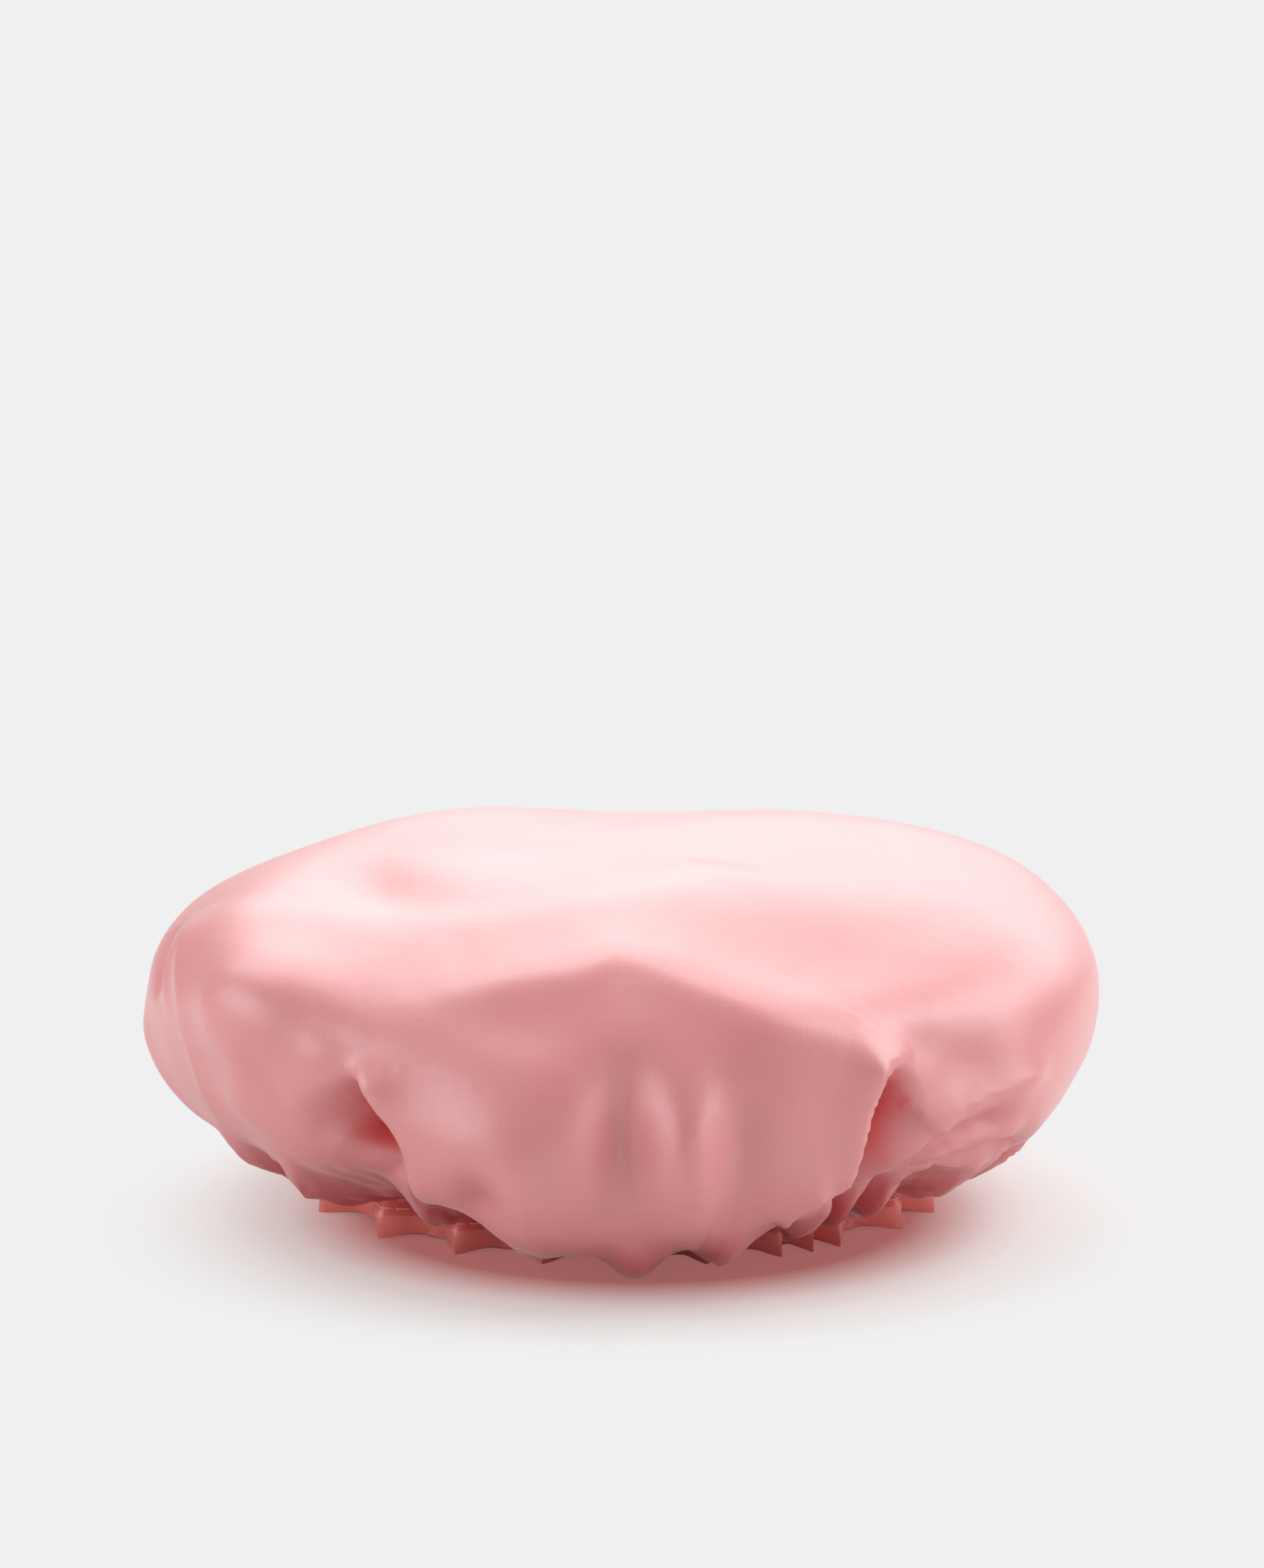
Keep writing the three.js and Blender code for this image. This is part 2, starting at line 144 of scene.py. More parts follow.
# The cloth: distance between its rings and columns at its edge, of the shown one and the simulated one
CLOTH_STEP, CLOTH_COLUMNS = 2.0, 768
DRAFT_STEP, DRAFT_COLUMNS = 3.2, 384
FIRST_COLUMNS = 12
WIDEST_COLUMN = 1.1  # in steps: wider columns are halved
LAST_RING = 0.3  # in steps: a ring nearer to the turn is left out

# Broad forms all round the cloth. An ARCS pair says from where to where along the cloth something sets in
FOLD_ARCS = (126, 207)
FOLD_END_ARCS = (203, 240)
SWAY_ARCS = (20, 90)
GATHER_ARCS = (196, 238)
GATHER_END = 240
GATHER_DEPTH = 3.4
LOBE_SHARPNESS = 2.4
EDGE_CALM = (14, 1)  # the folds end between these distances from the turn
SLUMP_DEPTH = 7.0  # how far the front hangs down
SLUMP_NARROWNESS = 10
CASING_REACH = 12.0  # outside this distance from the elastic the cloth stays off the floor
FLOOR_CLEARANCE = 1.5

# The simulation
SETTLE_FRAMES = 30
SPARE_WIDTH = ((0.045, (160, 195)), (0.06, (200, 240)))  # shares of the width
HOLD_CROWN = 0.6
HOLD_LOSS = 0.54
HOLD_LOSS_ARCS = (145, 200)
FIRM_EDGE = 3.0
SETTLED_ARCS = (192, 215)
BROAD_FOLD = 4.0  # degrees round the cap: folds this broad are sculpted, narrower ones form by themselves
SMALL_FOLD_LIMIT = 4.0

# Folds placed one by one. Strokes fall off by this factor and fade in and out over this share of their
# length
STROKE_FALLOFF = 0.7
STROKE_FADE = 0.25
MM_PER_DEGREE = 2.4  # round the widest line, near enough for lengths of strokes

# The folds that the photograph shows are given on an enlarged part of it, in that part's pixels
CROP_CORNER = (180, 1050)
CROP_SCALE = 0.88  # pixels of the photograph to one of the enlarged part
PLACE_STEP = 0.5  # degrees and mm: places found under pixels are rounded to this

# pixel, push in mm, size across and along
SEEN_PATCHES = [
    ((605, 640), 13, 21, 18),  # the front tongue's broad left hump
    ((872, 620), 9, 8, 13),  # its narrow right hump, and the hollows beside that
    ((768, 595), -8, 7, 14),
    ((945, 620), -4, 6, 13),
    ((190, 370), 11, 18, 13),  # the left shoulder
    ((165, 265), 5, 17, 13),
    ((1020, 620), 4, 12, 16),  # the tongue's right part
    ((555, 670), -8, 5.5, 5.5),  # the pinch under the broad hump
    ((345, 600), -12, 8, 7),  # the hollow left of the tongue
    ((388, 612), -10, 6, 8),
    ((1310, 470), -2.2, 8, 6),  # right of the tongue's upper corner
    ((1240, 440), -1.5, 8, 5),
    ((1050, 695), -6, 4, 4),  # the notch at its lower right corner
    ((365, 180), -4.2, 26, 12),  # the dent in the top
]

# phi, arc, push in mm, size across and along
FRONT_PATCHES = [
    (-8, 147, -7.5, 38, 20),  # the flat slope above the tongue
    (32, 116, -7, 36, 24),  # the top's flat front, right and left
    (-22, 110, -3.5, 26, 18),
    (-28, 212, -9, 24, 13),  # both sides of the tongue's foot
    (40, 212, -9, 28, 13),
    (1.5, 230, 2.5, 34, 13),  # the tongue's foot
]
BROAD_PATCHES = [
    (-145, 103, 3, 30, 25),  # the back of the crown
    (128, 106, 0.5, 34, 25),
    (112, 130, 4.5, 36, 22),
    (180, 101, -1, 25, 25),
    (-88, 205, -9, 60, 19),  # both sides, drawn in above the casing
    (88, 205, -8, 60, 19),
    (62, 168, 3, 30, 25),  # the full right side
]


class Line(NamedTuple):
    """A fold along a line: push in mm, width on its left and right, and roundness. Its points are pixels
    where the photograph shows it. Points before and after those are places on the cloth."""

    push: float
    left: float
    right: float
    roundness: float
    before: list = []
    seen: list = []
    after: list = []


LINES = [
    # the flat top of the left shoulder
    Line(0.8, 5, 9, 1.6, seen=[(160, 335), (156, 390), (160, 428), (178, 448), (225, 426), (285, 394)]),
    Line(2, 18, 18, 1.8, seen=[(260, 350), (330, 322), (420, 285), (520, 255), (700, 222), (880, 180),
                               (1000, 155)]),
    # the left face
    Line(3, 4, 8, 1.3, seen=[(120, 239), (102, 303), (98, 369), (102, 445), (119, 518)],
         after=[(-60, 197), (-56, 212)]),
    Line(2.5, 4, 5, 1.3, seen=[(119, 225), (83, 302), (64, 359), (56, 403)]),
    Line(-3, 5, 4, 1.5, seen=[(93, 241), (69, 272), (50, 320), (40, 373)]),
    Line(3, 4, 4, 1.3, after=[(-57, 203), (-50, 213), (-45, 222)]),
    Line(1.5, 8, 8, 1.7, seen=[(314, 420), (298, 455), (279, 493), (244, 534)]),
    Line(2, 8, 8, 1.7, seen=[(210, 432), (183, 494), (168, 557)]),
    Line(4, 3.5, 3.5, 1.2, seen=[(290, 574), (341, 623), (384, 651)], after=[(-28, 201)]),
    # the front tongue, its left edge and the crevice beside it
    Line(6.5, 2.5, 6, 1.3, seen=[(350, 448), (360, 490), (377, 530), (396, 580), (410, 620), (432, 655)],
         after=[(-22, 203)]),
    Line(-15, 9, 2.5, 1.4, seen=[(335, 480), (352, 520), (372, 575), (390, 625), (415, 660)],
         after=[(-25, 203)]),
    # the break between the top and the tongue
    Line(3.5, 9, 16, 1.7, seen=[(375, 400), (400, 380), (430, 364), (500, 340), (600, 322), (690, 312),
                                (760, 297), (810, 308), (870, 330), (940, 360), (1000, 387), (1060, 402),
                                (1120, 416), (1160, 442), (1195, 472)]),
    # the tongue's lower right corner
    Line(4.5, 3, 3, 1.2, seen=[(1090, 650), (1060, 660), (1035, 690), (1022, 715)], after=[(18, 205)]),
    # its right edge and the crevice beside it
    Line(8, 7, 2.2, 1.2, seen=[(1235, 430), (1200, 462), (1170, 485), (1150, 530), (1130, 590),
                               (1112, 640), (1105, 665)], after=[(20, 209)]),
    Line(-18, 2.6, 8, 1.4, seen=[(1225, 470), (1190, 500), (1165, 550), (1148, 600), (1130, 650)],
         after=[(24, 200), (22, 210)]),
    # folds that fan out to its right
    Line(4.5, 3, 4.5, 1.1, before=[(34, 203)],
         seen=[(1190, 650), (1210, 620), (1245, 585), (1285, 550), (1320, 525), (1355, 508), (1395, 490),
               (1440, 470)]),
    Line(-5, 3, 3, 1.4, before=[(35, 201)],
         seen=[(1215, 645), (1250, 605), (1295, 575), (1340, 555), (1380, 545)]),
    Line(5, 3, 3.5, 1.1, before=[(34.5, 203)],
         seen=[(1205, 655), (1240, 630), (1280, 605), (1320, 585), (1360, 570), (1390, 562)]),
    Line(-6, 4, 3.5, 1.4, before=[(36, 204)], seen=[(1260, 640), (1310, 615), (1350, 600), (1390, 590)]),
    Line(4, 4, 4, 1.3, after=[(38, 204), (43, 200), (48, 203), (54, 205)]),
    Line(1.2, 6, 12, 1.8, seen=[(1382, 480), (1393, 510), (1397, 555), (1390, 595)], after=[(55, 200)]),
    # left of the photograph's outline
    Line(3, 6, 6, 1.5, after=[(-86, 158), (-82, 175), (-76, 200), (-70, 225)]),
    Line(-3, 5, 5, 1.5, after=[(-97, 155), (-92, 175), (-84, 205), (-78, 230)]),
]

# Materials: the colour, the darker of its mottles and, for satin, a painted shade: the darker red painted
# deep in a fold
SATIN_COLORS = ((0.83, 0.295, 0.3), (0.8, 0.265, 0.27), (0.68, 0.06, 0.06))
# The casing is the same satin as the shell; its colours are painted redder and brighter for a painted glow
# of light through the doubled cloth, with a deeper red painted as shade in its folds
CASING_PAINTED_LIGHT_COLORS = ((0.95, 0.3, 0.27), (0.92, 0.26, 0.23), (0.95, 0.2, 0.17))
FILM_COLORS = ((0.90, 0.70, 0.68), (0.84, 0.62, 0.60))
KNIT_COLORS = ((0.82, 0.80, 0.76), (0.70, 0.68, 0.64))
THREAD_COLORS = ((0.94, 0.68, 0.64), (0.86, 0.56, 0.53))
MOTTLE_ENDS = (0.3, 0.7)
SATIN_SHINE = {
    "Roughness": 0.42,
    "Specular IOR Level": 0.9,
    "Coat Weight": 0.5,
    "Coat Roughness": 0.45,
    "Coat IOR": 1.8,
    "Sheen Weight": 0.4,
    "Sheen Roughness": 0.4,
    "Sheen Tint": (1, 0.86, 0.84, 1),
}
SATIN_MOTTLE_SCALE = 26
CRUMPLE_SCALE = 45
WEAVE_SCALE = 1500
FOLD_SHADE_REACH = 0.03  # metres: how far the satin looks for cloth that faces it, to paint shade in its folds
FOLD_SHADE_OPENNESS = (0.25, 0.8)  # from the painted fold shade to the plain colour

# The studio, in metres and watts
BACKGROUND = (0.871, 0.871, 0.871, 1)
WORLD_LIGHT = (0.23, 0.23, 0.23, 1)
FLOOR_BOUNCE = (0.74, 0.71, 0.705, 1)
FLOOR_HALF = 6.0
FLOOR_GLOW = 1.33
# The floor's painted shadow is centred here
SHADE_MIDDLE = (0.004, -0.022, 0)
FLOOR_PAINTED_SHADOW = (
    # distance from the shade's middle and the floor's colour there: a pink-brown shadow painted under the
    # overhang for the cap's shadow and the pink light it throws, then pale
    (0.082, (0.224, 0.081, 0.077)),
    (0.094, (0.3, 0.19, 0.185)),
    (0.108, (0.362, 0.322, 0.315)),
    (0.123, (0.38, 0.365, 0.361)),
    (0.158, (0.383, 0.38, 0.381)),
)
FLOOR_FADE = (0.11, 0.175)  # where the shaded floor fades into the plain background
LAMPS = (
    # name, place, height of the point it faces above the floor's middle, width, height, power
    ("top", (-0.35, 0.65, 1.4), 0.05, 1.6, 1.2, 15),
    ("key", (1.1, 0.1, 1.1), 0.05, 1.1, 1.0, 12),
    ("side", (1.35, -0.45, 0.5), 0.05, 1.0, 0.5, 3.2),
    ("low", (0.35, -1.35, 0.22), 0.02, 1.4, 0.3, 1.2),
    ("back", (0.5, 1.4, 0.8), 0.05, 2.0, 0.9, 12),
    ("fill", (-1.3, -0.45, 0.6), 0.05, 1.1, 0.9, 8),
)

# The photograph's camera, fitted to the cap's outline
PHOTO_WIDTH, PHOTO_HEIGHT = 1736, 2154
PIXELS_PER_MM = 4.49
CAMERA_DISTANCE = 1.6
CAMERA_ELEVATION = math.radians(12.9)
AIM_HEIGHT = 0.055
CAMERA_PLACE = (
    0,
    -CAMERA_DISTANCE * math.cos(CAMERA_ELEVATION),
    AIM_HEIGHT + CAMERA_DISTANCE * math.sin(CAMERA_ELEVATION),
)
AIM_PIXEL = (860.7, 1396)
SENSOR_WIDTH = 36


def smoothstep(low, high, x):
    t = np.clip((x - low) / (high - low), 0, 1)
    return t * t * (3 - 2 * t)


def wrap(degrees):
    return (np.asarray(degrees) + 180) % 360 - 180


def around(phi, radius, height):
    """Points round the gathered edge in mm: angle in degrees, radius and height."""
    a = np.radians(phi)
    x, y = radius * np.sin(a), CROWN_LEAN - radius * np.cos(a)
    return np.stack(np.broadcast_arrays(x, y, height), -1)


# The puffed form

def meridian(samples=400):
    """Arc length, radius and height along the puffed form, and its outward normal, from crown to casing."""
    u = np.linspace(0, np.pi / 2, samples)
    across, up = np.sin(u) ** (2 / CROWN_FULLNESS), np.cos(u).clip(0) ** (2 / CROWN_FULLNESS)
    rise = CROWN_TOP - WIDEST_HEIGHT
    r1, z1 = CROWN_RADIUS * across, WIDEST_HEIGHT + rise * up
    v = u[1:]
    across, up = np.cos(v).clip(0) ** (2 / SIDE_FULLNESS), np.sin(v) ** (2 / SIDE_FULLNESS)
    r2 = ELASTIC_RADIUS + (CROWN_RADIUS - ELASTIC_RADIUS) * across
    z2 = WIDEST_HEIGHT - (WIDEST_HEIGHT - CLOTH_TURN) * up
    r, z = np.concatenate([r1, r2]), np.concatenate([z1, z2])
    arc = np.concatenate([[0], np.cumsum(np.hypot(np.diff(r), np.diff(z)))])
    dr, dz = np.gradient(r, arc), np.gradient(z, arc)
    length = np.hypot(dr, dz)
    return arc, r, z, -dz / length, dr / length


ARC, RADIUS, HEIGHT, NORMAL_R, NORMAL_Z = meridian()
ARC_EQUATOR = ARC[np.argmax(RADIUS)]
ARC_TURN = ARC[-1]


def pleat_phase(phi):
    """0 on a pleat, 0.5 half-way to the next one, 1 on the next one."""
    pleats = np.sort(np.asarray(PLEATS) % 360)
    ends = np.concatenate([pleats[-1:] - 360, pleats, pleats[:1] + 360])
    p = np.asarray(phi) % 360
    i = np.searchsorted(ends, p, side="right") - 1
    return (p - ends[i]) / (ends[i + 1] - ends[i])


def lip_wave(phi):
    """1 on a pleat's outer crease, which is sharp, and 0 half-way between two pleats."""
    t = pleat_phase(phi)
    s = 2 * np.minimum(t, 1 - t)
    return 1 - np.sin(np.pi / 2 * s) ** PLEAT_SHARPNESS


def lip_radius(phi):
    """Radius of the line where the cloth goes into the casing."""
    return ELASTIC_RADIUS - LIP_HOLLOW + (LIP_HOLLOW + PLEAT_DEPTH) * lip_wave(phi)


def cloth_rings(step, most):
    """The rings of the cloth: arc length and number of columns. Columns halve towards the crown."""
    rings, arc = [], step
    while arc < ARC_TURN - LAST_RING * step:
        columns = FIRST_COLUMNS
        while columns < most and 2 * math.pi * arc / columns > WIDEST_COLUMN * step:
            columns *= 2
        rings.append((arc, columns))
        arc += step
    rings += [(ARC_TURN + tuck, most) for tuck in (0, EDGE_RING, EDGE_TUCK)]
    return rings


class Cloth:
    """The vertices of a circle of cloth, with their places on it, and its faces. first[0] is the middle of
    the crown, and first[k + 1] is where ring k starts."""

    def __init__(self, step, most):
        self.rings = cloth_rings(step, most)
        phi, arc, self.first = [np.zeros(1)], [np.zeros(1)], [0]
        start = 1
        for ring_arc, n in self.rings:
            phi.append(360 * np.arange(n) / n)
            arc.append(np.full(n, ring_arc))
            self.first.append(start)
            start += n
        self.phi, self.arc = wrap(np.concatenate(phi)), np.concatenate(arc)
        n = self.rings[0][1]
        self.faces = [(0, 1 + j, 1 + (j + 1) % n) for j in range(n)]
        for k in range(len(self.rings) - 1):
            self.faces += self.faces_below(k)

    def faces_below(self, k):
        """The faces between ring k and the next, which has as many columns or twice as many."""
        n, m = self.rings[k][1], self.rings[k + 1][1]
        u, w = self.first[k + 1], self.first[k + 2]
        faces = []
        for j in range(n):
            j1 = (j + 1) % n
            if m == n:
                faces.append((u + j, w + j, w + j1, u + j1))
            else:
                faces.append((u + j, w + 2 * j, w + 2 * j + 1))
                faces.append((u + j, w + 2 * j + 1, w + (2 * j + 2) % m, u + j1))
        return faces


def stroke(cloth, radius, points, left, right, roundness):
    """How near each vertex is to a line of places on the cloth, from 0 to 1. For a line that runs down, left
    and right are its widths on those sides. A roundness of 1 makes a sharp crease, 2 a soft roll."""
    best = np.full(len(cloth.phi), 1e9)
    side, place = np.zeros_like(best), np.zeros_like(best)
    pts = np.asarray(points, float)
    lengths = np.hypot(np.diff(pts[:, 0]) * MM_PER_DEGREE, np.diff(pts[:, 1]))
    ends = np.concatenate([[0], np.cumsum(lengths)]) / lengths.sum()
    mm_here = radius * np.pi / 180
    for k in range(len(pts) - 1):
        (p0, a0), (p1, a1) = pts[k], pts[k + 1]
        x, y = wrap(cloth.phi - p0) * mm_here, cloth.arc - a0
        ex, ey = (p1 - p0) * mm_here, np.full_like(x, a1 - a0)
        t = ((x * ex + y * ey) / (ex * ex + ey * ey + 1e-9)).clip(0, 1)
        d = np.hypot(x - t * ex, y - t * ey)
        near = d < best
        best[near] = d[near]
        side[near] = (ex * y - ey * x)[near]
        place[near] = (ends[k] + t * (ends[k + 1] - ends[k]))[near]
    taper = smoothstep(0, STROKE_FADE, place) * smoothstep(0, STROKE_FADE, 1 - place)
    return np.exp(-STROKE_FALLOFF * (best / np.where(side > 0, left, right)) ** roundness) * taper


def patch(cloth, radius, phi, arc, across, along):
    """A soft round patch on the cloth, from 0 to 1."""
    x = wrap(cloth.phi - phi) * radius * np.pi / 180
    return np.exp(-0.5 * ((x / across) ** 2 + ((cloth.arc - arc) / along) ** 2))


def regular_folds(cloth):
    """Push of the folds in the sides and the back, which the photograph doesn't show, as in the solids."""
    even = np.linspace(-2 * np.pi, 4 * np.pi, 3001)
    angle = even + GATHER_UNEVENNESS * (np.sin(3 * even + 0.7) / 3 + np.sin(5 * even) / 5)
    phi = np.radians(cloth.phi)
    at = np.interp(phi - np.pi / 2, angle, even)
    strength = 1 - FOLD_UNEVENNESS * (1 + np.sin(4 * (phi - np.pi / 2) + 1.3))
    share = smoothstep(*FOLD_ARCS, cloth.arc) * (1 - smoothstep(*FOLD_END_ARCS, cloth.arc))
    away = 1 - np.cos(phi).clip(0)
    return FOLD_DEPTH * share * away * strength * np.cos(at * GATHER_COUNT / 2)


def sculpt(cloth, folds, patches, strokes):
    """The vertices of the puffed cloth, in mm, pushed out by regular folds, patches and strokes."""
    lip = lip_radius(cloth.phi)
    radius = np.interp(cloth.arc, ARC, RADIUS)
    height = np.interp(cloth.arc, ARC, HEIGHT)
    below = cloth.arc > ARC_EQUATOR
    share = ((CROWN_RADIUS - radius) / (CROWN_RADIUS - ELASTIC_RADIUS)).clip(0, 1)
    radius = np.where(below, CROWN_RADIUS - share * (CROWN_RADIUS - lip), radius)
    nr, nz = np.interp(cloth.arc, ARC, NORMAL_R), np.interp(cloth.arc, ARC, NORMAL_Z)

    push = folds.copy()
    for phi, arc, depth, across, along in patches:
        push += depth * patch(cloth, radius, phi, arc, across, along)
    for depth, left, right, roundness, points in strokes:
        push += depth * stroke(cloth, radius, points, left, right, roundness)
    phi = np.radians(cloth.phi)
    sway = np.sin(3 * phi + 0.4) + 0.7 * np.sin(5 * phi + 2.1)
    push += smoothstep(*SWAY_ARCS, cloth.arc) * sway

    lobes = 1 - 2 * np.sin(np.pi * pleat_phase(cloth.phi)) ** LOBE_SHARPNESS
    gather = smoothstep(*GATHER_ARCS, cloth.arc)
    push += GATHER_DEPTH * gather * (1 - smoothstep(GATHER_END, ARC_TURN, cloth.arc)) * lobes
    push *= 1 - smoothstep(ARC_TURN - EDGE_CALM[0], ARC_TURN - EDGE_CALM[1], cloth.arc)

    down = ((cloth.arc - ARC_EQUATOR) / (ARC_TURN - ARC_EQUATOR)).clip(0, 1)
    slump = np.maximum(0, np.cos(phi)) ** SLUMP_NARROWNESS * SLUMP_DEPTH * np.sin(np.pi * down)
    tuck = (cloth.arc - ARC_TURN).clip(0)
    r, z = radius + nr * push, height + nz * push - slump - tuck
    z = np.maximum(z, np.where(r > ELASTIC_RADIUS + CASING_REACH, FLOOR_CLEARANCE, 0))
    setback = CROWN_LEAN * np.where(below, share, 0)
    return np.stack([r * np.sin(phi), setback - r * np.cos(phi), z], 1)


def place_finder():
    """Gives a function that finds the place on the cloth which the photograph shows at a pixel, by a ray
    from its camera to the cap's broad form."""
    cloth = Cloth(DRAFT_STEP, DRAFT_COLUMNS)
    form = sculpt(cloth, np.zeros_like(cloth.phi), BROAD_PATCHES, [])
    tree = BVHTree.FromPolygons([tuple(v) for v in form], cloth.faces)
    eye = Vector(CAMERA_PLACE) / MM
    level, rise = math.cos(CAMERA_ELEVATION), math.sin(CAMERA_ELEVATION)
    slope_per_pixel = MM / (PIXELS_PER_MM * CAMERA_DISTANCE)

    def place(pixel):
        x = (CROP_CORNER[0] + CROP_SCALE * pixel[0] - AIM_PIXEL[0]) * slope_per_pixel
        y = (AIM_PIXEL[1] - CROP_CORNER[1] - CROP_SCALE * pixel[1]) * slope_per_pixel
        ray = Vector((x, level + y * rise, y * level - rise)).normalized()
        hit, _, face, _ = tree.ray_cast(eye, ray)
        corners = list(cloth.faces[face])
        share = 1 / (1e-6 + ((form[corners] - np.array(hit)) ** 2).sum(1))
        share /= share.sum()
        phi = cloth.phi[corners[0]] + wrap(cloth.phi[corners] - cloth.phi[corners[0]])
        found = (float(wrap((phi * share).sum())), float((cloth.arc[corners] * share).sum()))
        return tuple(round(value / PLACE_STEP) * PLACE_STEP for value in found)

    return place


def placed_folds():
    """All patches and strokes by their places on the cloth."""
    place = place_finder()
    patches = [(*place(pixel), *rest) for pixel, *rest in SEEN_PATCHES]
    strokes = []
    for line in LINES:
        points = [*line.before, *(place(pixel) for pixel in line.seen), *line.after]
        strokes.append((line.push, line.left, line.right, line.roundness, points))
    return patches + FRONT_PATCHES + BROAD_PATCHES, strokes


PATCHES, STROKES = placed_folds()


def folded_form(cloth):
    """The vertices of the puffed cloth with all folds but the small ones, in mm."""
    return sculpt(cloth, regular_folds(cloth), PATCHES, STROKES)


# The small folds near the gathered edge

def rest_form(cloth, form):
    """The sculpted cloth with spare width towards the gathered edge, from which the small folds come."""
    spare = np.ones_like(cloth.arc)
    for share, arcs in SPARE_WIDTH:
        spare += share * smoothstep(*arcs, cloth.arc)
    middle = np.array([0, CROWN_LEAN, 0])
    return (form - middle) * np.stack([spare, spare, np.ones_like(spare)], 1) + middle


def over_cloth(cloth, values, other):
    """Values at the vertices of one cloth, read off between them at the vertices of a finer one."""
    arcs = np.array([0] + [arc for arc, _ in cloth.rings])
    k = (np.searchsorted(arcs, other.arc, side="right") - 1).clip(0, len(arcs) - 2)
    share = ((other.arc - arcs[k]) / (arcs[k + 1] - arcs[k])).clip(0, 1)[:, None]
    first = np.array(cloth.first)
    columns = np.array([1] + [n for _, n in cloth.rings])

    def on_ring(k):
        at = (other.phi % 360) * columns[k] / 360
        j = np.floor(at).astype(int)
        t = (at - j)[:, None]
        return values[first[k] + j % columns[k]] * (1 - t) + values[first[k] + (j + 1) % columns[k]] * t

    return on_ring(k) * (1 - share) + on_ring(k + 1) * share


def small_folds(cloth, moved):
    """What is left of a movement without its slow changes round each ring, limited to a few mm."""
    small = np.zeros_like(moved)
    for start, (_, columns) in zip(cloth.first[1:], cloth.rings):
        ring = slice(start, start + columns)
        wave = np.fft.rfftfreq(columns) * columns / 360
        keep = 1 - np.exp(-2 * (np.pi * BROAD_FOLD * wave) ** 2)
        small[ring] = np.fft.irfft(np.fft.rfft(moved[ring], axis=0) * keep[:, None], columns, axis=0)
    size = np.linalg.norm(small, axis=1, keepdims=True)
    return small * SMALL_FOLD_LIMIT * np.tanh(size / SMALL_FOLD_LIMIT) / np.maximum(size, 1e-6)


def settle(obj, rest, hold):
    """Let the cloth find its own small folds: Blender's cloth, held softly to the sculpted form and firmly
    at the casing. Returns the new vertices in metres."""
    count = len(obj.data.vertices)
    obj.shape_key_add(name="Basis")
    key = obj.shape_key_add(name="rest")
    key.data.foreach_set("co", (rest * MM).ravel())
    group = obj.vertex_groups.new(name="hold")
    for value in np.unique(hold.round(3)):
        group.add(np.flatnonzero(hold.round(3) == value).tolist(), float(value), "REPLACE")
    # This one changes nothing, but Cloth reads the rest shape only behind another modifier
    first = obj.modifiers.new("first", "EDGE_SPLIT")
    first.use_edge_angle = first.use_edge_sharp = False
    cloth = obj.modifiers.new("settle", "CLOTH")
    s = cloth.settings
    s.quality = 6
    s.mass = 0.03
    s.air_damping = 4
    s.tension_stiffness = s.compression_stiffness = 20
    s.shear_stiffness = 8
    s.bending_stiffness = 0.15
    s.tension_damping = s.compression_damping = s.shear_damping = 4
    s.bending_damping = 0.1
    s.vertex_group_mass = "hold"
    s.pin_stiffness = 2.0
    s.rest_shape_key = obj.data.shape_keys.key_blocks["rest"]
    s.effector_weights.gravity = 0.02
    cloth.collision_settings.use_self_collision = False
    cloth.collision_settings.use_collision = False
    cloth.point_cache.frame_start, cloth.point_cache.frame_end = 1, SETTLE_FRAMES
    scene = bpy.context.scene
    for f in range(1, SETTLE_FRAMES + 1):
        scene.frame_set(f)
    evaluated = obj.evaluated_get(bpy.context.evaluated_depsgraph_get())
    co = np.empty(count * 3)
    evaluated.data.vertices.foreach_get("co", co)
    obj.modifiers.remove(cloth)
    obj.modifiers.remove(first)
    obj.shape_key_clear()
    obj.vertex_groups.clear()
    scene.frame_set(1)
    return co.reshape(-1, 3)


def puffed_form(cloth):
    """The sculpted cloth, in mm, with the small folds that it finds by itself."""
    form = folded_form(cloth)
    coarse = Cloth(DRAFT_STEP, DRAFT_COLUMNS)
    start = folded_form(coarse)
    draft = mesh_object("draft", start * MM, coarse.faces)
    soft_hold = HOLD_CROWN - HOLD_LOSS * smoothstep(*HOLD_LOSS_ARCS, coarse.arc)
    hold = np.where(coarse.arc > ARC_TURN - FIRM_EDGE, 1.0, soft_hold)
    moved = settle(draft, rest_form(coarse, start), hold) / MM - start
    bpy.data.objects.remove(draft)
    moved = small_folds(coarse, moved) * smoothstep(*SETTLED_ARCS, coarse.arc)[:, None]
    form = form + over_cloth(coarse, moved, cloth)
    return form


# Meshes

def mesh_object(name, vertices, faces, body="cap"):
    mesh = bpy.data.meshes.new(name)
    mesh.from_pydata([tuple(v) for v in vertices], [], [tuple(int(i) for i in f) for f in faces])
    mesh.polygons.foreach_set("use_smooth", [True] * len(mesh.polygons))
    mesh.update()
    obj = bpy.data.objects.new(name, mesh)
    bpy.context.scene.collection.objects.link(obj)
    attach(obj, body)
    return obj


def joined(name, parts, body="cap"):
    """One object of several meshes in mm."""
    vertices, faces, start = [], [], 0
    for v, f in parts:
        vertices.append(v)
        faces += [tuple(i + start for i in face) for face in f]
        start += len(v)
    return mesh_object(name, np.concatenate(vertices) * MM, faces, body)


def ring_faces(rings, n):
    """The faces between rings of n vertices each."""
    return [(k * n + j, (k + 1) * n + j, (k + 1) * n + (j + 1) % n, k * n + (j + 1) % n)
            for k in range(rings - 1) for j in range(n)]


